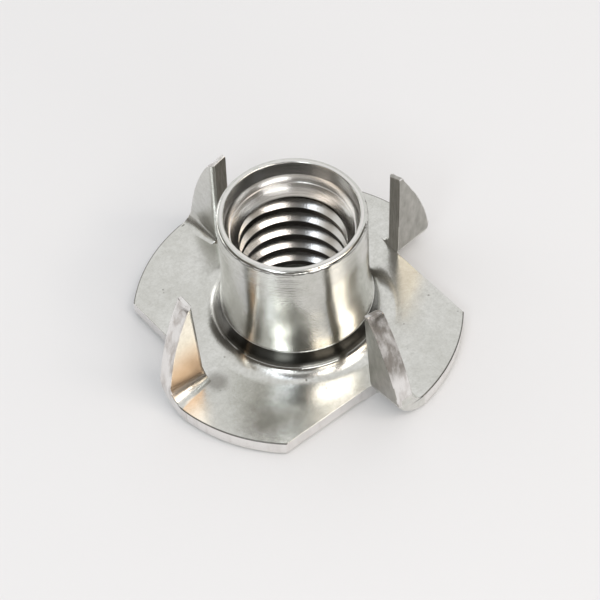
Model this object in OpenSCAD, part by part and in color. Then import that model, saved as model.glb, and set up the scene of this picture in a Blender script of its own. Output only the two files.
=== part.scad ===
// Four-prong tee nut for wood, 3/8-16 thread, pressed from one piece of stainless sheet.
// The flange lies on Z = 0 and the barrel stands along +Z. The prongs stand on the X and Y axes.

/* [Flange] */
// Diameter of the round blank, across the lobes
flange_d = 25.4; // [24:0.1:32]
// Thickness of the sheet
sheet = 1.4; // [1:0.05:1.7]

/* [Barrel] */
// Height from the underside of the flange to the rim
barrel_h = 12.5; // [10:0.1:24]
// Outside diameter of the barrel at the rim
barrel_d = 11.15; // [10.9:0.05:11.6]
// How far the barrel widens, on each side, from the rim down to the crease
flare = 0.28; // [0.1:0.01:0.6]
// Height over which the barrel widens
flare_h = 2.1; // [1:0.1:3.5]
// Height of the crease above the top of the flange
crease_h = 2.1; // [1.8:0.1:3]
// Slope of the foot below the crease, away from upright, in degrees
foot_draft = 11; // [2:1:20]
// Radius of the hollow between the foot and the flange
root_r = 1.1; // [0.5:0.1:1.3]

/* [Rim] */
// Inside diameter of the thin lip around the rim
lip_d = 10; // [9.6:0.05:10.2]
// Depth of the lip
lip_depth = 1.3; // [0.5:0.1:2]
// Radius of the lip's outer edge
lip_edge_r = 0.3; // [0.1:0.05:0.35]
// Chamfer of the lip's inner edge
lip_chamfer = 0.1; // [0.05:0.05:0.15]

/* [Bore] */
// Diameter across the crests of the thread
bore_d = 8.06; // [7.8:0.01:8.2]
// Full angle of the cone that leads a screw into the thread, in degrees
lead_angle = 62; // [45:1:90]
// Width of the small ledge part way down that cone
lead_ledge = 0.08; // [0.04:0.01:0.15]
// Depth of that ledge below the bottom of the lip
ledge_depth = 0.55; // [0.2:0.05:0.7]
// Radius of the rounded mouth in the underside
mouth_r = 1.4; // [0.5:0.1:1.8]

/* [Prongs] */
// Number of prongs, and of the lobes between them
prongs = 4; // [3:1:6]
// Distance of each lance cut from the axis
cut_offset = 9.3; // [8.8:0.1:10.5]
// Inside radius of the fold at the foot of a prong
fold_r = 0.9; // [0.3:0.05:1.2]
// How far each lance cut runs on past the middle of its prong
cut_over = 0.5; // [0:0.05:0.7]
// Radius at the inner end of each lance cut, beside the fold
cut_end_r = 0.7; // [0.2:0.05:0.9]
// Length that a prong gains as it is lanced and folded
prong_draw = 0.4; // [0:0.1:1.5]
// Radius of a prong's outer edge, which folding leaves straighter than the blank's edge
prong_edge_r = 20; // [13:0.5:40]
// Length lost from the sharp point of a prong
tip_blunt = 0.45; // [0.1:0.05:1]
// Slope of the blunted point across the sheet, in degrees
tip_slope = 15; // [0:1:45]
// Radius that the lancing pulls on the far edge of each cut: under the flange, and on a prong's face
roll_r = 0.4; // [0.1:0.05:0.5]

/* [Hidden] */
$fn = 96;
eps = 0.01;

// How far a cutting shape runs on past what it cuts
past = 1;

flange_r = flange_d / 2;
barrel_r = barrel_d / 2;
bore_r = bore_d / 2;
lip_r = lip_d / 2;

// The widening of the barrel is an arc that leaves the straight wall with no corner
crease_r = barrel_r + flare;
crease_z = sheet + crease_h;
flare_arc = (flare * flare + flare_h * flare_h) / (2 * flare);

// The foot is a cone, and the hollow at its bottom touches the cone and the flange
foot_r = crease_r + crease_h * tan(foot_draft);
hollow_x = foot_r + root_r * (1 - sin(foot_draft)) / cos(foot_draft);
hollow_z = sheet + root_r;

// Heights inside the barrel, from the rim down
lip_z = barrel_h - lip_depth;
ledge_z = lip_z - ledge_depth;
lead_slope = tan(lead_angle / 2);
ledge_out_r = lip_r - ledge_depth * lead_slope;
ledge_in_r = ledge_out_r - lead_ledge;
thread_top_z = ledge_z - (ledge_in_r - bore_r) / lead_slope;

// A prong stands over the middle of its lance cut. The fold starts beside it, at fold_y.
fold_y = sheet / 2 + fold_r;
fold_z = sheet + fold_r;
fold_length = (fold_r + sheet / 2) * PI / 2;
half_cut = sqrt(flange_r ^ 2 - cut_offset ^ 2);

// Folding carries the blank's corner up to the prong's point, straight above the lance cut
tip_z = fold_z + fold_y + half_cut - fold_length + prong_draw;

// The prong's outer edge leaves the blank's edge level with the flange's top and arcs up to the point
edge_rise = tip_z - sheet;
edge_run = flange_r - cut_offset;
edge_chord = sqrt(edge_rise ^ 2 + edge_run ^ 2);
chord_gap = sqrt(prong_edge_r ^ 2 - edge_chord ^ 2 / 4) / edge_chord;
edge_x = cut_offset + edge_run / 2 - chord_gap * edge_rise;
edge_z = sheet + edge_rise / 2 - chord_gap * edge_run;

// The rolled edges fade out towards the fold, this much longer than deep
roll_fade = 3;

// The sliver that a round of radius r takes off a square corner at the origin
module corner_sliver(r) {
    difference() {
        translate([-r, -r])
            square(r + eps);
        translate([-r, -r])
            circle(r);
    }
}

// Sliver that rounds a square edge standing on the Z axis, fading out at its lower end
module edge_roll(length) {
    intersection() {
        linear_extrude(length)
            corner_sliver(roll_r);
        rotate(a = atan(roll_fade), v = [-1, 1, 0])
            translate([-length, -length, 0])
                cube(2 * length);
    }
}

// Half section of the barrel's outside, from the axis outwards
module barrel_outside() {
    difference() {
        square([barrel_r, barrel_h]);
        translate([barrel_r, barrel_h])
            corner_sliver(lip_edge_r);
    }
    difference() {
        translate([0, crease_z])
            square([crease_r, flare_h]);
        translate([barrel_r + flare_arc, crease_z + flare_h])
            circle(flare_arc, $fn = 360);
    }
    polygon([[0, sheet], [foot_r, sheet], [crease_r, crease_z], [0, crease_z]]);
    difference() {
        polygon([
            [foot_r, sheet],
            [hollow_x, sheet],
            [hollow_x, hollow_z],
            [hollow_x - root_r * cos(foot_draft), hollow_z - root_r * sin(foot_draft)]
        ]);
        translate([hollow_x, hollow_z])
            circle(root_r);
    }
}

// Half section of the hole: mouth, plain wall at the thread's crests, lead-in cone and lip
module hole() {
    translate([0, -eps])
        square([bore_r, barrel_h + 2 * eps]);
    difference() {
        translate([0, -eps])
            square([bore_r + mouth_r, mouth_r + eps]);
        translate([bore_r + mouth_r, mouth_r])
            circle(mouth_r);
    }
    polygon([[0, thread_top_z], [bore_r, thread_top_z], [ledge_in_r, ledge_z], [0, ledge_z]]);
    polygon([[0, ledge_z], [ledge_out_r, ledge_z], [lip_r, lip_z], [0, lip_z]]);
    translate([0, lip_z])
        square([lip_r, lip_depth + eps]);
    translate([0, barrel_h - lip_chamfer])
        polygon([
            [0, 0],
            [lip_r, 0],
            [lip_r + lip_chamfer + eps, lip_chamfer + eps],
            [0, lip_chamfer + eps]
        ]);
}

// The round blank with its drawn barrel, before the prongs are lanced
module drawn_blank() {
    rotate_extrude()
        difference() {
            union() {
                square([flange_r, sheet]);
                barrel_outside();
            }
            hole();
        }
}

// Part of the blank that a prong leaves: from the fold, along the lance cut, to the lobe's corner
module lanced_gap() {
    translate([cut_offset, -half_cut - past, -past])
        cube([flange_r, half_cut + past + fold_y, sheet + 2 * past]);
    translate([cut_offset, cut_over - cut_end_r, 0])
        rotate([90, 90, 0])
            edge_roll(half_cut + past);
}

// Sheet that turns up through a right angle
module fold() {
    translate([0, fold_y, fold_z])
        rotate([0, 90, 0])
            rotate([0, 0, -90])
                rotate_extrude(angle = 90)
                    translate([fold_r, cut_offset])
                        square([sheet, edge_run + past]);
}

// The lance cut ends in a small round where the fold leaves the flange
module cut_end() {
    difference() {
        translate([cut_offset - eps, cut_over - cut_end_r, 0])
            cube([cut_end_r + eps, cut_end_r + fold_y - cut_over, sheet]);
        translate([cut_offset + cut_end_r, cut_over - cut_end_r, -past])
            cylinder(r = cut_end_r, h = sheet + 2 * past);
    }
}

// Upright blade with its blunted point and its rolled inner edge
module blade() {
    difference() {
        translate([cut_offset, -sheet / 2, fold_z])
            cube([edge_run + past, sheet, tip_z - fold_z]);
        translate([0, -sheet / 2, tip_z - tip_blunt])
            rotate([-tip_slope, 0, 0])
                translate([cut_offset - past, -past, 0])
                    cube([edge_run + 3 * past, sheet + 3 * past, tip_z]);
        translate([cut_offset, sheet / 2, fold_z + roll_r])
            rotate([0, 0, 90])
                edge_roll(edge_rise);
    }
}

// Straight inside, where it is sheared. Outside, the blank's round edge turns up into the prong's edge.
module prong() {
    intersection() {
        union() {
            fold();
            blade();
        }
        cylinder(r = flange_r, h = tip_z);
        translate([edge_x, fold_y + past, edge_z])
            rotate([90, 0, 0])
                cylinder(r = prong_edge_r, h = fold_y + sheet + 2 * past, $fn = 360);
    }
    cut_end();
}

module tee_nut() {
    color("silver") {
        difference() {
            drawn_blank();
            for (i = [0 : prongs - 1])
                rotate([0, 0, i * 360 / prongs])
                    lanced_gap();
        }
        for (i = [0 : prongs - 1])
            rotate([0, 0, i * 360 / prongs])
                prong();
    }
}

tee_nut();
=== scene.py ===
import math

import bpy
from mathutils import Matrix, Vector


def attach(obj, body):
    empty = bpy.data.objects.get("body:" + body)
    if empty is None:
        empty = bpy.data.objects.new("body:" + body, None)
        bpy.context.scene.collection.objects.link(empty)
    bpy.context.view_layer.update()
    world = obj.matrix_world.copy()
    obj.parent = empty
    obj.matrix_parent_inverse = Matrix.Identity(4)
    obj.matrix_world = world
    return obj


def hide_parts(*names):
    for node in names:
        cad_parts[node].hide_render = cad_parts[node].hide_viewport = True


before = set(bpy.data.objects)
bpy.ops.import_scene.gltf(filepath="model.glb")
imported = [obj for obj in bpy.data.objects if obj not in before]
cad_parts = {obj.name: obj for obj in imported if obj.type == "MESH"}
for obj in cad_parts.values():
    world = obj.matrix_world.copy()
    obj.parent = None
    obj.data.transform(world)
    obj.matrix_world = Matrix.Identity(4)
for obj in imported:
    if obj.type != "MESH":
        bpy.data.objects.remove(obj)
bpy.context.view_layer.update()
bpy.ops.object.select_all(action="DESELECT")

# ---------------------------------------------------------------- disc and drawn barrel
# A round disc of 1.4 mm stainless sheet whose middle is drawn up into the barrel.
# The blanking die leaves a crisp edge on top and a soft one below; the lip, the cone and
# the bore are turned. It is modelled in millimetres and brought to metres at the end.

SHEET = 1.4
FLANGE_R = 12.7
BARREL_R = 5.575
RIM_Z = 12.5
LIP_R = 5.0
CONE_FOOT_Z = 9.7
BORE_R = 4.03
MOUTH_R = 1.4
FLARE_R = 19.15
STEPS = 192


def clear():
    """Leaves edit mode with nothing selected."""
    if bpy.context.object and bpy.context.object.mode != "OBJECT":
        bpy.ops.object.mode_set(mode="OBJECT")
    bpy.ops.object.select_all(action="DESELECT")


def only(piece):
    """Makes this the one selected and active object."""
    clear()
    piece.select_set(True)
    bpy.context.view_layer.objects.active = piece


def choose(piece, kind, test):
    """Goes into edit mode with the vertices, edges or polygons selected whose middle passes the test."""
    only(piece)
    bpy.ops.object.mode_set(mode="EDIT")
    bpy.ops.mesh.select_mode(type={"vertices": "VERT", "edges": "EDGE", "polygons": "FACE"}[kind])
    bpy.ops.mesh.select_all(action="DESELECT")
    bpy.ops.object.mode_set(mode="OBJECT")
    mesh = piece.data
    for item in getattr(mesh, kind):
        if kind == "vertices":
            middle = item.co
        elif kind == "edges":
            middle = (mesh.vertices[item.vertices[0]].co + mesh.vertices[item.vertices[1]].co) / 2
        else:
            middle = item.center
        item.select = bool(test(middle))
    bpy.ops.object.mode_set(mode="EDIT")


# Parts are put in order by their distance from this point, which leaves hardly any ties
FAR_POINT = (31.7, 17.3, 41.9)


def combine(piece, other, operation):
    """Adds the other solid to the piece, or cuts it away, and puts what is left in a fixed order."""
    only(piece)
    step = piece.modifiers.new(operation, "BOOLEAN")
    step.operation = operation
    step.solver = "EXACT"
    step.object = other
    bpy.ops.object.modifier_apply(modifier=step.name)
    bpy.data.objects.remove(other)
    choose(piece, "vertices", lambda p: True)
    bpy.context.scene.cursor.location = FAR_POINT
    bpy.ops.mesh.sort_elements(type="CURSOR_DISTANCE", elements={"VERT", "EDGE", "FACE"})
    bpy.context.scene.cursor.location = (0, 0, 0)
    bpy.ops.object.mode_set(mode="OBJECT")


def place(piece, move=(0, 0, 0), turn=(0, 0, 0)):
    """Turns a solid by degrees about X, Y and Z, moves it, and applies both."""
    only(piece)
    piece.rotation_euler = [math.radians(t) for t in turn]
    piece.location = move
    bpy.ops.object.transform_apply(location=True, rotation=True, scale=True)


def arc(x, z, radius, start, end, steps):
    """Points on an arc of the half section, from one angle in degrees to another."""
    turns = [math.radians(start + (end - start) * i / steps) for i in range(steps + 1)]
    return [(x + radius * math.cos(t), z + radius * math.sin(t)) for t in turns]


# The half section runs out over the flange's edge, in to the hollow and the foot, up past the
# crease and the flare to the rim, and down the lip, the cone and the bore to the mouth
section = [(BORE_R + MOUTH_R, 0)]
section += arc(FLANGE_R - 0.28, 0.28, 0.28, -90, 0, 5)
section += arc(FLANGE_R - 0.07, SHEET - 0.07, 0.07, 0, 90, 3)
section += arc(7.715, SHEET + 2.0, 2.0, 270, 230, 7)[:-1]
section += arc(6.879, 2.404, 0.7, 230, 195, 6)
section += [(5.885, 3.42), (5.9, 3.48), (5.888, 3.525), (5.853, 3.56)]
section += arc(BARREL_R + FLARE_R, 7.0, FLARE_R, 186.9, 180, 8)
section += arc(BARREL_R - 0.3, RIM_Z - 0.3, 0.3, 0, 90, 6)
section += arc(LIP_R + 0.1, RIM_Z - 0.1, 0.1, 90, 180, 3)
section += [(LIP_R, 11.24), (4.985, 11.17)]
section += [(4.68, 10.67), (4.66, 10.65), (4.6, 10.648), (4.585, 10.63)]
section += [(4.05, CONE_FOOT_Z + 0.05), (BORE_R, CONE_FOOT_Z)]
section += arc(BORE_R + MOUTH_R, MOUTH_R, MOUTH_R, 180, 270, 10)[:-1]

bpy.ops.mesh.primitive_circle_add(vertices=STEPS, radius=section[0][0])
nut = bpy.context.object
nut.name = "tee_nut_steel"
bpy.ops.object.mode_set(mode="EDIT")
bpy.ops.mesh.select_all(action="SELECT")
was_r, was_z = section[0]
for r, z in section[1:] + section[:1]:
    bpy.ops.mesh.extrude_region_move(TRANSFORM_OT_translate={"value": (0, 0, z - was_z)})
    bpy.ops.transform.resize(value=(r / was_r, r / was_r, 1), center_override=(0, 0, z))
    was_r, was_z = r, z
bpy.ops.mesh.select_all(action="SELECT")
bpy.ops.mesh.remove_doubles(threshold=0.0005)
bpy.ops.mesh.normals_make_consistent(inside=False)

# ---------------------------------------------------------------- lance cuts
# Four straight cuts, each from a lobe's corner to just past the middle of its prong.
# The shears pull the underside round along the cut, and leave a small round at its end.

CUT_X = 9.3
CUT_END_Y = 0.5
CUT_END_R = 0.7
PULLED_R = 0.4
BURR_R = 0.06
FOLD_IN_R = 0.55
FOLD_OUT_R = 1.25


def edge_bar(radius, length, fade):
    """Bar that rounds the square edge on the Z axis of a solid at -X and -Y, from nothing at Z = 0."""
    clear()
    bpy.ops.mesh.primitive_cube_add(size=1)
    bar = bpy.context.object
    bar.scale = (radius + 0.05, radius + 0.05, length)
    place(bar, (0.025 - radius / 2, 0.025 - radius / 2, length / 2))
    clear()
    bpy.ops.mesh.primitive_cylinder_add(vertices=32, radius=radius, depth=length + 1)
    pin = bpy.context.object
    place(pin, (-radius, -radius, length / 2))
    combine(bar, pin, "DIFFERENCE")
    choose(bar, "vertices", lambda p: True)
    bpy.ops.mesh.bisect(plane_co=(0, 0, fade), plane_no=(0, 0, 1))
    choose(bar, "vertices", lambda p: p.z < 0.001)
    bpy.ops.transform.resize(value=(0.08, 0.08, 1), center_override=(0.05, 0.05, 0))
    bpy.ops.object.mode_set(mode="OBJECT")
    return bar


def fold_radius(x):
    """Inside radius of the fold, which opens from the lance cut to the outer edge."""
    return FOLD_IN_R + (FOLD_OUT_R - FOLD_IN_R) * (x - CUT_X) / (FLANGE_R - CUT_X)


clear()
bpy.ops.mesh.primitive_cube_add(size=1)
gap = bpy.context.object
gap.scale = (4.4, 12.2, 3.4)
place(gap, (CUT_X + 4.4 / 2, CUT_END_Y - 12.2 / 2, SHEET / 2))
choose(gap, "edges", lambda p: p.x < 10 and p.y > 0 and abs(p.z - SHEET / 2) < 0.1)
bpy.ops.mesh.bevel(offset=CUT_END_R, segments=8, clamp_overlap=False)
choose(gap, "polygons", lambda p: p.y > CUT_END_Y - 0.01 and p.x > 10.5 and abs(p.z - SHEET / 2) < 0.1)
bpy.ops.mesh.extrude_region_move(TRANSFORM_OT_translate={"value": (0, 0.3, 0)})
bpy.ops.object.mode_set(mode="OBJECT")
for v in gap.data.vertices:
    if v.co.y > CUT_END_Y + 0.2:
        v.co.y = SHEET / 2 + fold_radius(v.co.x) - 0.05
under = edge_bar(PULLED_R, 10, 1.6)
place(under, (CUT_X, -0.2, 0), (90, 90, 0))
combine(gap, under, "UNION")
over = edge_bar(BURR_R, 10, 0.4)
place(over, (CUT_X, -0.2, SHEET), (90, 0, 0))
combine(gap, over, "UNION")


def four_of(piece, changes=(None,) * 4):
    """Copies a solid to all four sides, changes each copy, and joins them."""
    made = []
    for i, change in enumerate(changes):
        one = piece.copy()
        one.data = piece.data.copy()
        bpy.context.collection.objects.link(one)
        if change:
            change(one)
        place(one, turn=(0, 0, 90 * i))
        made.append(one)
    bpy.data.objects.remove(piece)
    only(made[0])
    for one in made:
        one.select_set(True)
    bpy.ops.object.join()
    return bpy.context.object


combine(nut, four_of(gap), "DIFFERENCE")

# ---------------------------------------------------------------- prongs
# Each prong is the corner of the disc beyond its lance cut, folded up through a right angle.
# Its straight inner edge is sheared and its outer edge is the disc's own. The punch leaves the
# fold tighter beside the cut than outside, and no two prongs lean or end quite alike.

IN_X = CUT_X - 0.01
HALF = SHEET / 2 - 0.002
FOLD_R = (FOLD_IN_R + FOLD_OUT_R) / 2
BASE_Z = SHEET + FOLD_R
EDGE_R = 20
EDGE_CENTRE = (-7.166, -0.918)
POINT_SLOPE = 12
PRONG_H = 8.5
ROLL_R = 0.45


def edge_at(height):
    """How far out the prong's outer edge lies at a height."""
    return math.sqrt(EDGE_R ** 2 - (height - EDGE_CENTRE[1]) ** 2) + EDGE_CENTRE[0]


clear()
bpy.ops.mesh.primitive_plane_add(size=1)
prong = bpy.context.object
width = edge_at(BASE_Z) - IN_X
prong.scale = (width, 2 * HALF, 1)
place(prong, (IN_X + width / 2, 0, BASE_Z))
for x, y, radius, steps in ((IN_X, -1, 0.05, 2), (IN_X, 1, 0.05, 2),
                            (IN_X + width, 1, 0.1, 3), (IN_X + width, -1, 0.28, 5)):
    choose(prong, "vertices", lambda p: abs(p.x - x) < 0.02 and abs(p.y - y * HALF) < 0.02)
    bpy.ops.mesh.bevel(offset=radius, segments=steps, affect="VERTICES", clamp_overlap=False)

choose(prong, "polygons", lambda p: True)
z = BASE_Z
for height in (2.8, 3.4, 4.0, 4.6, 5.2, 5.8, 6.4, 7.0, 7.5, 8.0, 8.4, 8.8, 9.1, 9.4, 9.65, 9.85):
    wide = edge_at(height) - IN_X
    bpy.ops.mesh.extrude_region_move(TRANSFORM_OT_translate={"value": (0, 0, height - z)})
    bpy.ops.transform.resize(value=(wide / width, 1, 1), center_override=(IN_X, 0, height))
    width, z = wide, height
bpy.ops.transform.rotate(value=math.radians(POINT_SLOPE), orient_axis="X", center_override=(IN_X, 0, z))
for lift, shrink in ((0.05, 0.92), (0.025, 0.78)):
    bpy.ops.mesh.extrude_region_move(TRANSFORM_OT_translate={"value": (0, 0, lift)})
    bpy.ops.transform.resize(value=(shrink, 1 - (1 - shrink) / 3, 1),
                             center_override=(IN_X + width / 2, 0, z))

choose(prong, "polygons", lambda p: p.z < BASE_Z + 0.001)
bpy.ops.mesh.spin(steps=16, angle=math.radians(-90), center=(0, SHEET / 2 + FOLD_R, BASE_Z),
                  axis=(1, 0, 0))
bpy.ops.mesh.extrude_region_move(TRANSFORM_OT_translate={"value": (0, 0.3, 0)})
bpy.ops.transform.resize(value=(0.985, 1, 1), center_override=(IN_X, 0, 0))
bpy.ops.object.mode_set(mode="OBJECT")
for v in prong.data.vertices:
    change = fold_radius(v.co.x) - FOLD_R
    y, z = v.co.y - SHEET / 2 - FOLD_R, v.co.z - BASE_Z
    if z <= 0.001:
        reach = math.hypot(min(y, 0), z)
        v.co.y = SHEET / 2 + FOLD_R + change + max(y, 0) + min(y, 0) * (reach + change) / reach
        v.co.z = BASE_Z + change + z * (reach + change) / reach


def sway(base, top, out, taller, slope):
    """Gives one prong its own lean along the cut at foot and point, lean outwards, height and slope."""
    def change(one):
        for v in one.data.vertices:
            radius = fold_radius(v.co.x)
            round_fold = min(max((SHEET / 2 + radius - v.co.y) / radius, 0), 1)
            soft = round_fold ** 2 * (3 - 2 * round_fold)
            up = soft * min(max((v.co.z - SHEET) / PRONG_H, 0), 1)
            tip = max(up - 0.8, 0) / 0.2
            v.co.z += up * taller - tip * slope * v.co.y
            v.co.y += base * soft + (top - base) * up
            v.co.x += out * up ** 2
    return change


roll = edge_bar(ROLL_R, 9.5, 0.8)
place(roll, (IN_X, HALF, 1.45), (0, 0, 90))
combine(prong, roll, "DIFFERENCE")
sways = (
    sway(-0.25, -0.65, -0.1, 0.1, 0.25),
    sway(-0.05, -0.25, 0, 0.1, 0.1),
    sway(-0.2, -0.4, 0.25, -0.2, -0.1),
    sway(0.1, -0.3, 0, 0.2, 0),
)
combine(nut, four_of(prong, sways), "UNION")

# ---------------------------------------------------------------- thread
# A 3/8-16 thread, tapped right through from the mouth. Its turns are 1.5875 mm apart with
# 60 degree flanks, and the last quarter turn runs out at the foot of the cone.

PITCH = 1.5875
ROOT_R = 4.7625
ROOT_HALF = 0.15
TAP_IN_R = 3.88
TURNS = 6.5
END_Z = 9.555
END_TURN = 165

clear()
bpy.ops.mesh.primitive_plane_add(size=1)
groove = bpy.context.object
groove.scale = (ROOT_R - TAP_IN_R, 1, 1)
place(groove, ((ROOT_R + TAP_IN_R) / 2, 0, END_Z - PITCH * TURNS), (90, 0, 0))
flank = math.tan(math.radians(30))
for r, half in ((ROOT_R, ROOT_HALF), (TAP_IN_R, ROOT_HALF + (ROOT_R - TAP_IN_R) * flank)):
    choose(groove, "vertices", lambda p: abs(p.x - r) < 0.01)
    bpy.ops.transform.resize(value=(1, 1, 2 * half), center_override=(r, 0, END_Z - PITCH * TURNS))
choose(groove, "polygons", lambda p: True)
bpy.ops.mesh.delete(type="ONLY_FACE")
place(groove, turn=(0, 0, END_TURN - 360 * TURNS))
wind = groove.modifiers.new("wind", "SCREW")
wind.angle = 2 * math.pi * TURNS
wind.screw_offset = PITCH * TURNS
wind.steps = wind.render_steps = int(STEPS * TURNS)
wind.use_smooth_shade = False
bpy.ops.object.modifier_apply(modifier=wind.name)
fade = STEPS // 4
for i in range(fade + 1):
    first = len(groove.data.vertices) - 4 * (i + 1)
    for v in groove.data.vertices[first:first + 4]:
        r = math.hypot(v.co.x, v.co.y)
        drop = (ROOT_R - BORE_R + 0.03) * (1 - i / fade)
        v.co.x *= (r - drop) / r
        v.co.y *= (r - drop) / r
choose(groove, "vertices", lambda p: False)
bpy.ops.mesh.select_non_manifold()
bpy.ops.mesh.fill_holes(sides=0)
bpy.ops.mesh.select_all(action="SELECT")
bpy.ops.mesh.normals_make_consistent(inside=False)
combine(nut, groove, "DIFFERENCE")

choose(nut, "vertices", lambda p: True)
bpy.ops.mesh.remove_doubles(threshold=0.001)
bpy.ops.mesh.dissolve_degenerate(threshold=0.001)
bpy.ops.mesh.dissolve_limited(angle_limit=math.radians(0.3))
bpy.ops.transform.resize(value=(0.001, 0.001, 0.001), center_override=(0, 0, 0))
only(nut)
bpy.ops.object.shade_smooth_by_angle(angle=math.radians(32))
even = nut.modifiers.new("even", "WEIGHTED_NORMAL")
even.keep_sharp = True
bpy.ops.object.modifier_apply(modifier=even.name)

# ---------------------------------------------------------------- steel
# Bare stainless all over, with no plating. Each face shows how it was made: the sheet was
# tumbled after pressing, the lances and the disc's edge were sheared, and the bore was cut.

MM = 0.001


def linear(code):
    """A colour written as sRGB hex, in the linear numbers that a shader takes."""
    parts = [int(code[i:i + 2], 16) / 255 for i in (1, 3, 5)]
    return tuple(c / 12.92 if c <= 0.04045 else ((c + 0.055) / 1.055) ** 2.4 for c in parts) + (1,)


def node(material, kind, settings=(), links=()):
    """Adds a node, sets its properties and sockets, and links its sockets to other nodes or outputs."""
    made = material.node_tree.nodes.new(kind)
    for name, value in dict(settings).items():
        if isinstance(name, str) and hasattr(made, name):
            setattr(made, name, value)
        else:
            made.inputs[name].default_value = value
    for name, source in dict(links).items():
        output = source.outputs[0] if hasattr(source, "outputs") else source
        material.node_tree.links.new(output, made.inputs[name])
    return made


def bare_metal(name, roughness=0.5):
    """A new bare metal, its surface, and the place of each of its points on the nut."""
    metal = bpy.data.materials.new(name)
    metal.use_nodes = True
    skin = metal.node_tree.nodes["Principled BSDF"]
    skin.inputs["Metallic"].default_value = 1.0
    skin.inputs["Roughness"].default_value = roughness
    return metal, skin, node(metal, "ShaderNodeTexCoord").outputs["Object"]


def finish(metal, skin, colour, relief):
    """Gives a metal's surface its colour and its relief."""
    metal.node_tree.links.new(colour, skin.inputs["Base Color"])
    metal.node_tree.links.new(relief.outputs[0], skin.inputs["Normal"])


# Tumbled stainless: bright satin, smoother on the drawn barrel than on the flange, with faint
# clouds, tiny pits and rubbed rings under the rim. Painted shade darkens the hollow round the foot,
# a patch of that hollow on one side and the corner at one prong's foot. A painted dark reflection
# lies on the front lobe, a painted warm reflection lies low on one prong, and a painted shade line
# runs along the disc's top edge.
# Its grain is drawn coarser than tumbling leaves it, so that it shows.
steel, skin, at = bare_metal("tumbled_stainless")
height = node(steel, "ShaderNodeSeparateXYZ", {}, {0: at}).outputs["Z"]
flat = node(steel, "ShaderNodeVectorMath", {"operation": "MULTIPLY", 1: (1, 1, 0)}, {0: at})
radius = node(steel, "ShaderNodeVectorMath", {"operation": "LENGTH"}, {0: flat}).outputs["Value"]

cloud = node(steel, "ShaderNodeTexNoise", {"Scale": 1 / (3.2 * MM), "Detail": 3.0, "Roughness": 0.55},
             {"Vector": at})
cloud = node(steel, "ShaderNodeMapRange", {"From Min": 0.3, "From Max": 0.7}, {"Value": cloud})
colour = node(steel, "ShaderNodeMix", {"data_type": "RGBA", 6: linear("#D6D6D0"), 7: linear("#E8E8E4")},
              {"Factor": cloud}).outputs[2]

mottle = node(steel, "ShaderNodeTexNoise", {"Scale": 1 / (0.4 * MM), "Detail": 3.0, "Roughness": 0.7},
              {"Vector": at})
mottle = node(steel, "ShaderNodeMapRange", {"From Min": 0.35, "From Max": 0.7, "To Max": 0.4},
              {"Value": mottle})
colour = node(steel, "ShaderNodeMix", {"data_type": "RGBA", 7: linear("#B4B2A9")},
              {"Factor": mottle, 6: colour}).outputs[2]

pits = node(steel, "ShaderNodeTexNoise", {"Scale": 1 / (0.42 * MM), "Detail": 1.0}, {"Vector": at})
pits = node(steel, "ShaderNodeMapRange", {"From Min": 0.76, "From Max": 0.82, "To Max": 0.7}, {"Value": pits})
colour = node(steel, "ShaderNodeMix", {"data_type": "RGBA", 7: linear("#5E5A52")},
              {"Factor": pits, 6: colour}).outputs[2]

# Painted shade: the hollow round the foot, below the crease, is painted dark
foot = node(steel, "ShaderNodeMapRange", {"From Min": 1.75 * MM, "From Max": 2.5 * MM}, {"Value": height})
crease = node(steel, "ShaderNodeMapRange", {"From Min": 3.5 * MM, "From Max": 3.42 * MM, "To Max": 0.93},
              {"Value": height})
inside = node(steel, "ShaderNodeMapRange", {"From Min": 7.0 * MM, "From Max": 6.3 * MM}, {"Value": radius})
painted_foot_shade = node(steel, "ShaderNodeMath", {"operation": "MULTIPLY"}, {0: foot, 1: crease})
painted_foot_shade = node(steel, "ShaderNodeMath", {"operation": "MULTIPLY"}, {0: painted_foot_shade, 1: inside})
colour = node(steel, "ShaderNodeMix", {"data_type": "RGBA", 7: linear("#2B2A27")},
              {"Factor": painted_foot_shade, 6: colour}).outputs[2]

# Painted dark reflection: a streaked dark patch painted on the front lobe of the flange
painted_lobe_reflection = node(steel, "ShaderNodeMapping", {"vector_type": "TEXTURE",
             "Location": (-8.0 * MM, -7.2 * MM, 1.4 * MM), "Rotation": (0, 0, math.radians(-32)),
             "Scale": (3.4 * MM, 2.7 * MM, MM)}, {"Vector": at})
streaks = node(steel, "ShaderNodeTexNoise", {"Scale": 2.2, "Detail": 4.0, "Roughness": 0.6},
               {"Vector": painted_lobe_reflection})
painted_lobe_reflection = node(steel, "ShaderNodeVectorMath", {"operation": "LENGTH"}, {0: painted_lobe_reflection}).outputs["Value"]
painted_lobe_reflection = node(steel, "ShaderNodeMath", {"operation": "ADD"}, {0: painted_lobe_reflection, 1: streaks})
painted_lobe_reflection = node(steel, "ShaderNodeMapRange", {"interpolation_type": "SMOOTHSTEP", "From Min": 1.6,
             "From Max": 0.45, "To Max": 0.85}, {"Value": painted_lobe_reflection})
colour = node(steel, "ShaderNodeMix", {"data_type": "RGBA", 7: linear("#8C8880")},
              {"Factor": painted_lobe_reflection, 6: colour}).outputs[2]

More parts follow.
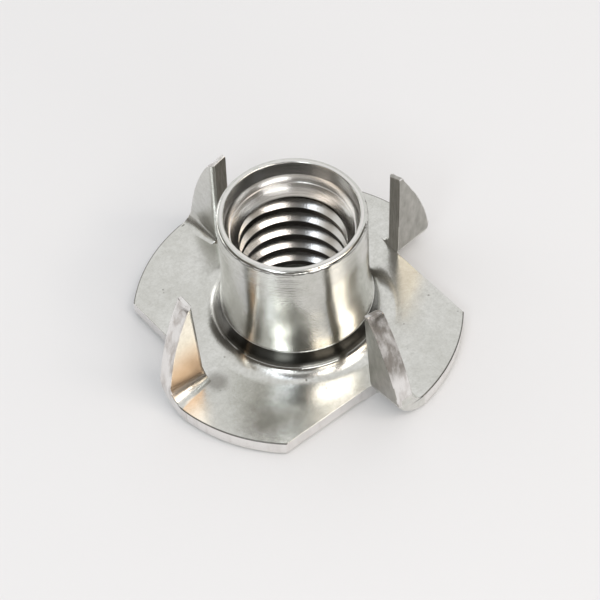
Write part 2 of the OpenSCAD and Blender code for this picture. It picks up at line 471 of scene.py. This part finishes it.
# Painted warm reflection: a peach glow painted low on one prong, just above the flange
painted_warm_reflection = node(steel, "ShaderNodeVectorMath", {"operation": "DISTANCE", 1: (-10.8 * MM, -1.6 * MM, 2.2 * MM)},
            {0: at})
painted_warm_reflection = node(steel, "ShaderNodeMapRange", {"interpolation_type": "SMOOTHSTEP", "From Min": 5.2 * MM,
            "From Max": 1.6 * MM, "To Max": 0.75}, {"Value": painted_warm_reflection.outputs["Value"]})
raised = node(steel, "ShaderNodeMapRange", {"From Min": 1.45 * MM, "From Max": 2.2 * MM}, {"Value": height})
painted_warm_reflection = node(steel, "ShaderNodeMath", {"operation": "MULTIPLY"}, {0: painted_warm_reflection, 1: raised})
colour = node(steel, "ShaderNodeMix", {"data_type": "RGBA", 7: linear("#B5926C")},
              {"Factor": painted_warm_reflection, 6: colour}).outputs[2]

# Painted shade: a dark brown patch painted in the hollow on one side of the barrel
painted_hollow_shade = node(steel, "ShaderNodeVectorMath", {"operation": "DISTANCE", 1: (-6.5 * MM, 3.0 * MM, 1.9 * MM)},
             {0: at})
painted_hollow_shade = node(steel, "ShaderNodeMapRange", {"interpolation_type": "SMOOTHSTEP", "From Min": 4.4 * MM,
             "From Max": 1.6 * MM, "To Max": 0.85}, {"Value": painted_hollow_shade.outputs["Value"]})
low = node(steel, "ShaderNodeMapRange", {"From Min": 1.41 * MM, "From Max": 1.5 * MM}, {"Value": height})
painted_hollow_shade = node(steel, "ShaderNodeMath", {"operation": "MULTIPLY"}, {0: painted_hollow_shade, 1: low})
painted_hollow_shade = node(steel, "ShaderNodeMath", {"operation": "MULTIPLY"}, {0: painted_hollow_shade, 1: inside})
colour = node(steel, "ShaderNodeMix", {"data_type": "RGBA", 7: linear("#2E2820")},
              {"Factor": painted_hollow_shade, 6: colour}).outputs[2]

# Painted shade: a streaked grey patch painted in the corner at the foot of one prong
painted_corner_shade = node(steel, "ShaderNodeVectorMath", {"operation": "DISTANCE", 1: (-9.0 * MM, -1.5 * MM, 1.4 * MM)},
              {0: at})
painted_corner_shade = node(steel, "ShaderNodeMath", {"operation": "MULTIPLY_ADD", 1: 0.8 * MM},
              {0: streaks, 2: painted_corner_shade.outputs["Value"]})
painted_corner_shade = node(steel, "ShaderNodeMapRange", {"interpolation_type": "SMOOTHSTEP", "From Min": 1.7 * MM,
              "From Max": 0.7 * MM, "To Max": 0.6}, {"Value": painted_corner_shade})
colour = node(steel, "ShaderNodeMix", {"data_type": "RGBA", 7: linear("#77736B")},
              {"Factor": painted_corner_shade, 6: colour}).outputs[2]

# Painted shade line: a dark line painted along the top edge of the disc's rim
painted_edge_shade = node(steel, "ShaderNodeMath", {"operation": "SUBTRACT", 1: 1.36 * MM}, {0: height})
painted_edge_shade = node(steel, "ShaderNodeMath", {"operation": "ABSOLUTE"}, {0: painted_edge_shade})
painted_edge_shade = node(steel, "ShaderNodeMapRange", {"From Min": 0.07 * MM, "From Max": 0.04 * MM}, {"Value": painted_edge_shade})
outer = node(steel, "ShaderNodeMapRange", {"From Min": 12.58 * MM, "From Max": 12.64 * MM, "To Max": 0.8},
             {"Value": radius})
painted_edge_shade = node(steel, "ShaderNodeMath", {"operation": "MULTIPLY"}, {0: painted_edge_shade, 1: outer})
colour = node(steel, "ShaderNodeMix", {"data_type": "RGBA", 7: linear("#4F4C47")},
              {"Factor": painted_edge_shade, 6: colour}).outputs[2]

nicks = node(steel, "ShaderNodeTexNoise", {"Scale": 1 / (0.45 * MM), "Detail": 3.0}, {"Vector": at})
nicks = node(steel, "ShaderNodeMath", {"operation": "MULTIPLY_ADD", 1: 0.5 * MM, 2: -12.5 * MM}, {0: nicks})
nicks = node(steel, "ShaderNodeMath", {"operation": "ADD"}, {0: nicks, 1: height})
nicks = node(steel, "ShaderNodeMath", {"operation": "ABSOLUTE"}, {0: nicks})
nicks = node(steel, "ShaderNodeMapRange", {"From Min": 0.08 * MM, "From Max": 0.03 * MM, "To Max": 0.8},
             {"Value": nicks})
colour = node(steel, "ShaderNodeMix", {"data_type": "RGBA", 7: linear("#4A4844")},
              {"Factor": nicks, 6: colour}).outputs[2]

haze = node(steel, "ShaderNodeTexNoise", {"Scale": 1 / (1.1 * MM), "Detail": 4.0, "Roughness": 0.6},
            {"Vector": at})
satin = node(steel, "ShaderNodeMapRange", {"From Min": 5.9 * MM, "From Max": 7 * MM,
             "To Min": 0.13, "To Max": 0.21}, {"Value": radius})
satin = node(steel, "ShaderNodeMath", {"operation": "MULTIPLY_ADD", 1: 0.12}, {0: haze, 2: satin})
satin = node(steel, "ShaderNodeMath", {"operation": "SUBTRACT", 1: 0.06}, {0: satin})
bent = node(steel, "ShaderNodeMapRange", {"From Min": 8.9 * MM, "From Max": 9.3 * MM, "To Max": 0.16},
            {"Value": radius})
bent = node(steel, "ShaderNodeMath", {"operation": "MULTIPLY"}, {0: bent, 1: raised})
satin = node(steel, "ShaderNodeMath", {"operation": "ADD"}, {0: satin, 1: bent})

grain = node(steel, "ShaderNodeTexNoise", {"Scale": 1 / (0.16 * MM), "Detail": 3.0, "Roughness": 0.6},
             {"Vector": at})
waves = node(steel, "ShaderNodeTexNoise", {"Scale": 1 / (4.5 * MM), "Detail": 1.0}, {"Vector": at})
across = node(steel, "ShaderNodeMath", {"operation": "ADD"}, {0: height, 1: radius})
rings = node(steel, "ShaderNodeTexNoise", {"noise_dimensions": "1D", "Scale": 9 / MM, "Detail": 3.0},
             {"W": across})
rubbed = node(steel, "ShaderNodeMapRange", {"From Min": 8.6 * MM, "From Max": 11.6 * MM}, {"Value": height})
rings = node(steel, "ShaderNodeMath", {"operation": "MULTIPLY"}, {0: rings, 1: rubbed})
relief = node(steel, "ShaderNodeBump", {"Distance": 0.006 * MM}, {"Height": grain})
relief = node(steel, "ShaderNodeBump", {"Distance": 0.1 * MM}, {"Height": waves, "Normal": relief})
relief = node(steel, "ShaderNodeBump", {"Distance": 0.018 * MM}, {"Height": rings, "Normal": relief})
relief = node(steel, "ShaderNodeBump", {"Distance": 0.014 * MM, "invert": True},
              {"Height": pits, "Normal": relief})
steel.node_tree.links.new(satin.outputs[0], skin.inputs["Roughness"])
finish(steel, skin, colour, relief)

# Sheared stainless: duller and darker, torn by the shears in fine lines across the sheet.
sheared, skin, at = bare_metal("sheared_stainless", 0.38)
along = node(sheared, "ShaderNodeMapping", {"Scale": (1.0, 1.0, 0.12)}, {"Vector": at})
tear = node(sheared, "ShaderNodeTexNoise", {"Scale": 1 / (0.16 * MM), "Detail": 3.0, "Roughness": 0.6},
            {"Vector": along})
shade = node(sheared, "ShaderNodeMapRange", {"From Min": 0.3, "From Max": 0.7}, {"Value": tear})
colour = node(sheared, "ShaderNodeMix", {"data_type": "RGBA", 6: linear("#7A7670"), 7: linear("#98948D")},
              {"Factor": shade}).outputs[2]
relief = node(sheared, "ShaderNodeBump", {"Distance": 0.012 * MM}, {"Height": tear})
finish(sheared, skin, colour, relief)

# Blanked stainless: the disc's own edge, which the prongs carry up with them. The die burnished
# it, and left brownish drag marks along it.
blanked, skin, at = bare_metal("blanked_stainless", 0.27)
along = node(blanked, "ShaderNodeMapping", {"Scale": (1.0, 1.0, 0.2)}, {"Vector": at})
drag = node(blanked, "ShaderNodeTexNoise", {"Scale": 1 / (0.7 * MM), "Detail": 4.0, "Roughness": 0.62},
            {"Vector": along})
shade = node(blanked, "ShaderNodeMapRange", {"From Min": 0.48, "From Max": 0.72}, {"Value": drag})
height = node(blanked, "ShaderNodeSeparateXYZ", {}, {0: at}).outputs["Z"]
faint = node(blanked, "ShaderNodeMapRange", {"From Min": 1.2 * MM, "From Max": 2.4 * MM, "To Min": 0.35},
             {"Value": height})
shade = node(blanked, "ShaderNodeMath", {"operation": "MULTIPLY"}, {0: shade, 1: faint})
colour = node(blanked, "ShaderNodeMix", {"data_type": "RGBA", 6: linear("#EFEDEB"), 7: linear("#B9B2AC")},
              {"Factor": shade}).outputs[2]
# One prong's outer edge is painted darker towards its top, broken up by the drag marks
darker_top = node(blanked, "ShaderNodeVectorMath", {"operation": "DISTANCE", 1: (0.5 * MM, -11.2 * MM, 8.2 * MM)},
           {0: at})
darker_top = node(blanked, "ShaderNodeMapRange", {"interpolation_type": "SMOOTHSTEP", "From Min": 4.2 * MM,
           "From Max": 2.6 * MM, "To Max": 0.8}, {"Value": darker_top.outputs["Value"]})
broken = node(blanked, "ShaderNodeMapRange", {"From Min": 0.35, "From Max": 0.55, "To Min": 0.4},
              {"Value": drag})
darker_top = node(blanked, "ShaderNodeMath", {"operation": "MULTIPLY"}, {0: darker_top, 1: broken})
colour = node(blanked, "ShaderNodeMix", {"data_type": "RGBA", 7: linear("#7D776F")},
              {"Factor": darker_top, 6: colour}).outputs[2]
relief = node(blanked, "ShaderNodeBump", {"Distance": 0.02 * MM}, {"Height": drag})
finish(blanked, skin, colour, relief)

# Stretched stainless: the far side of each fold, drawn out dull and grainy as the prong was bent.
stretched, skin, at = bare_metal("stretched_stainless", 0.33)
along = node(stretched, "ShaderNodeMapping", {"Scale": (1.0, 1.0, 0.35)}, {"Vector": at})
peel = node(stretched, "ShaderNodeTexNoise", {"Scale": 1 / (0.45 * MM), "Detail": 4.0, "Roughness": 0.6},
            {"Vector": along})
shade = node(stretched, "ShaderNodeMapRange", {"From Min": 0.3, "From Max": 0.7}, {"Value": peel})
colour = node(stretched, "ShaderNodeMix", {"data_type": "RGBA", 6: linear("#9C9A93"), 7: linear("#BAB8B2")},
              {"Factor": shade}).outputs[2]
relief = node(stretched, "ShaderNodeBump", {"Distance": 0.015 * MM}, {"Height": peel})
finish(stretched, skin, colour, relief)

# Turned stainless: the lip and the cone, bright, with the tool's rings, drawn coarser than they
# are so that they show.
turned, skin, at = bare_metal("turned_stainless", 0.25)
height = node(turned, "ShaderNodeSeparateXYZ", {}, {0: at}).outputs["Z"]
rings = node(turned, "ShaderNodeTexNoise", {"noise_dimensions": "1D", "Scale": 5 / MM, "Detail": 2.0},
             {"W": height})
shade = node(turned, "ShaderNodeMapRange", {"From Min": 0.3, "From Max": 0.7}, {"Value": rings})
colour = node(turned, "ShaderNodeMix", {"data_type": "RGBA", 6: linear("#D5D2CD"), 7: linear("#F0EEEB")},
              {"Factor": shade}).outputs[2]
relief = node(turned, "ShaderNodeBump", {"Distance": 0.001 * MM}, {"Height": rings})
finish(turned, skin, colour, relief)

# Tapped stainless: bright flanks, with the crests painted darker as a painted dark reflection and the roots
# painted dark as painted shade.
tapped, skin, at = bare_metal("tapped_stainless", 0.2)
flat = node(tapped, "ShaderNodeVectorMath", {"operation": "MULTIPLY", 1: (1, 1, 0)}, {0: at})
radius = node(tapped, "ShaderNodeVectorMath", {"operation": "LENGTH"}, {0: flat}).outputs["Value"]
# Painted shade in the roots and a painted dark reflection on the crests
root = node(tapped, "ShaderNodeMapRange", {"From Min": 4.6 * MM, "From Max": 4.76 * MM}, {"Value": radius})
crest = node(tapped, "ShaderNodeMapRange", {"From Min": 4.06 * MM, "From Max": 4.035 * MM}, {"Value": radius})
colour = node(tapped, "ShaderNodeMix", {"data_type": "RGBA", 6: linear("#E2E0DB"), 7: linear("#5E5A53")},
              {"Factor": root}).outputs[2]
colour = node(tapped, "ShaderNodeMix", {"data_type": "RGBA", 7: linear("#5A5650")},
              {"Factor": crest, 6: colour}).outputs[2]
chatter = node(tapped, "ShaderNodeTexNoise", {"Scale": 1 / (0.15 * MM), "Detail": 3.0}, {"Vector": at})
relief = node(tapped, "ShaderNodeBump", {"Distance": 0.004 * MM}, {"Height": chatter})
finish(tapped, skin, colour, relief)

nut.data.materials.clear()
for metal in (steel, sheared, blanked, turned, tapped, stretched):
    nut.data.materials.append(metal)


def dress(metal, test):
    """Gives this metal to the faces whose middle, in mm, passes the test."""
    choose(nut, "polygons", lambda p: test(p / MM))
    nut.active_material_index = nut.data.materials.find(metal.name)
    bpy.ops.object.material_slot_assign()
    bpy.ops.object.mode_set(mode="OBJECT")


def beside(p):
    """How far a point lies from its prong's middle plane, positive on the side the prong folds to."""
    return math.copysign(p.y, p.x * p.y) if abs(p.x) > abs(p.y) else -math.copysign(p.x, p.x * p.y)


def out(p):
    """How far out a point lies, towards the prong that it is nearest to."""
    return max(abs(p.x), abs(p.y))


def off_axis(p):
    """How far a point lies from the axis of the barrel."""
    return math.hypot(p.x, p.y)


CONE_SLOPE = 0.61

dress(steel, lambda p: True)
# The outside of each fold and the prong's side above it
dress(stretched, lambda p: p.z > 1.9 and out(p) > CUT_X + 0.03 and beside(p) < -0.3)
# The prongs' straight inner edges
dress(sheared, lambda p: p.z > 1.5 and out(p) < CUT_X + 0.005 and off_axis(p) > 9)
# The prongs' outer edges, the disc's edge and the walls of the cuts
dress(blanked, lambda p: p.z > 2 and out(p) > edge_at(p.z) - 0.13
      or 0.3 < p.z < 1.33 and (off_axis(p) > FLANGE_R - 0.1 or abs(out(p) - CUT_X) < 0.03))
# The lip and the cone
dress(turned, lambda p: off_axis(p) < LIP_R + 0.01 and p.z > CONE_FOOT_Z)
# The bore and the thread, with what of its last turn lies behind the cone
dress(tapped, lambda p: BORE_R - 0.01 < off_axis(p) < 4.9
      and (1 < p.z <= CONE_FOOT_Z or CONE_FOOT_Z < p.z < 10.3
           and off_axis(p) > BORE_R + 0.05 + (p.z - CONE_FOOT_Z) * CONE_SLOPE))

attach(nut, "root")
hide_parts("tee_nut")

# ---------------------------------------------------------------- floor, light and camera
# A pale table under a white tent. Soft boxes light the front and one stands low behind. Dark walls
# and cards between them, which only reflections show, keep the steel from washing out.

clear()
bpy.ops.mesh.primitive_plane_add(size=4)
floor = bpy.context.object
floor.name = "floor"
table = bpy.data.materials.new("pale_table")
table.use_nodes = True
skin = table.node_tree.nodes["Principled BSDF"]
skin.inputs["Base Color"].default_value = linear("#DBDBDC")
skin.inputs["Roughness"].default_value = 0.9
skin.inputs["Specular IOR Level"].default_value = 0.1
floor.data.materials.append(table)

world = bpy.data.worlds.new("white_tent")
bpy.context.scene.world = world
world.use_nodes = True
sky = world.node_tree.nodes["Background"]
sky.inputs["Color"].default_value = linear("#EEEEEE")
sky.inputs["Strength"].default_value = 1.0

LAMPS_AT = 0.5


def around(distance, azimuth, elevation):
    """A place this far from the nut, by its azimuth from +X and its elevation in degrees."""
    flat = distance * math.cos(math.radians(elevation))
    turn = math.radians(azimuth)
    rise = distance * math.sin(math.radians(elevation))
    return Vector((flat * math.cos(turn), flat * math.sin(turn), rise))


# Each lamp faces the nut. Its width and height are in metres, and its power goes with its area
for azimuth, elevation, wide, high, glow, shade in (
    (209, 42, 0.12, 0.115, 5.5, "#F4FBFF"),
    (191, 64, 0.04, 0.24, 3.0, "#E6F0FF"),
    (287, 42.5, 0.46, 0.09, 3.0, "#FFEFDC"),
    (306, 43.5, 0.09, 0.06, 4.5, "#FFF6E8"),
    (292, 62, 0.27, 0.13, 3.4, "#FFF6F0"),
    (256, 14, 0.36, 0.09, 4.2, "#FFFFFF"),
    (112, 11, 0.42, 0.09, 2.0, "#FFFFFF"),
):
    bpy.ops.object.light_add(type="AREA", location=around(LAMPS_AT, azimuth, elevation))
    lamp = bpy.context.object
    lamp.data.shape = "RECTANGLE"
    lamp.data.size = wide
    lamp.data.size_y = high
    lamp.data.energy = glow * math.pi * wide * high
    lamp.data.color = linear(shade)[:3]
    lamp.rotation_euler = lamp.location.to_track_quat("Z", "Y").to_euler()

# Each card is a piece of a cylinder about the axis, between two azimuths and two elevations
for name, distance, first, last, low, high, shade in (
    ("dark_wall", 0.6, 105, 350, 3, 36, "#6A6660"),
    ("left_wall", 0.6, 105, 178, 36, 43, "#6A6660"),
    ("left_card", 0.6, 148, 172, 43, 62, "#B4AEA4"),
    ("right_card", 0.6, 310, 342, 36, 56, "#A09A90"),
    ("stand", 0.42, 279, 285, 36, 56, "#55524E"),
    ("front_card", 0.6, 222, 256, 36, 48, "#55534E"),
    ("high_card", 0.6, 199, 262, 57, 78, "#4A4844"),
):
    clear()
    foot = distance * math.tan(math.radians(low))
    top = distance * math.tan(math.radians(high))
    bpy.ops.mesh.primitive_cylinder_add(vertices=180, radius=distance, depth=top - foot,
                                        end_fill_type="NOTHING")
    wall = bpy.context.object
    wall.name = name
    place(wall, (0, 0, (foot + top) / 2))
    choose(wall, "polygons", lambda p: not first < math.degrees(math.atan2(p.y, p.x)) % 360 < last)
    bpy.ops.mesh.delete(type="FACE")
    bpy.ops.object.mode_set(mode="OBJECT")
    cloth = bpy.data.materials.new(name + "_cloth")
    cloth.use_nodes = True
    skin = cloth.node_tree.nodes["Principled BSDF"]
    skin.inputs["Base Color"].default_value = linear(shade)
    skin.inputs["Roughness"].default_value = 1.0
    wall.data.materials.append(cloth)
    wall.visible_camera = wall.visible_diffuse = wall.visible_shadow = False

bpy.ops.object.camera_add(location=(-0.06128202, -0.08392578, 0.13421189))
camera = bpy.context.object
camera.rotation_euler = [math.radians(t) for t in (38.17063655, 2.31337129, -39.18949144)]
camera.data.lens = 132
camera.data.sensor_width = 36
camera.data.clip_start = 0.005
bpy.context.scene.camera = camera
bpy.context.scene.view_settings.view_transform = "Standard"
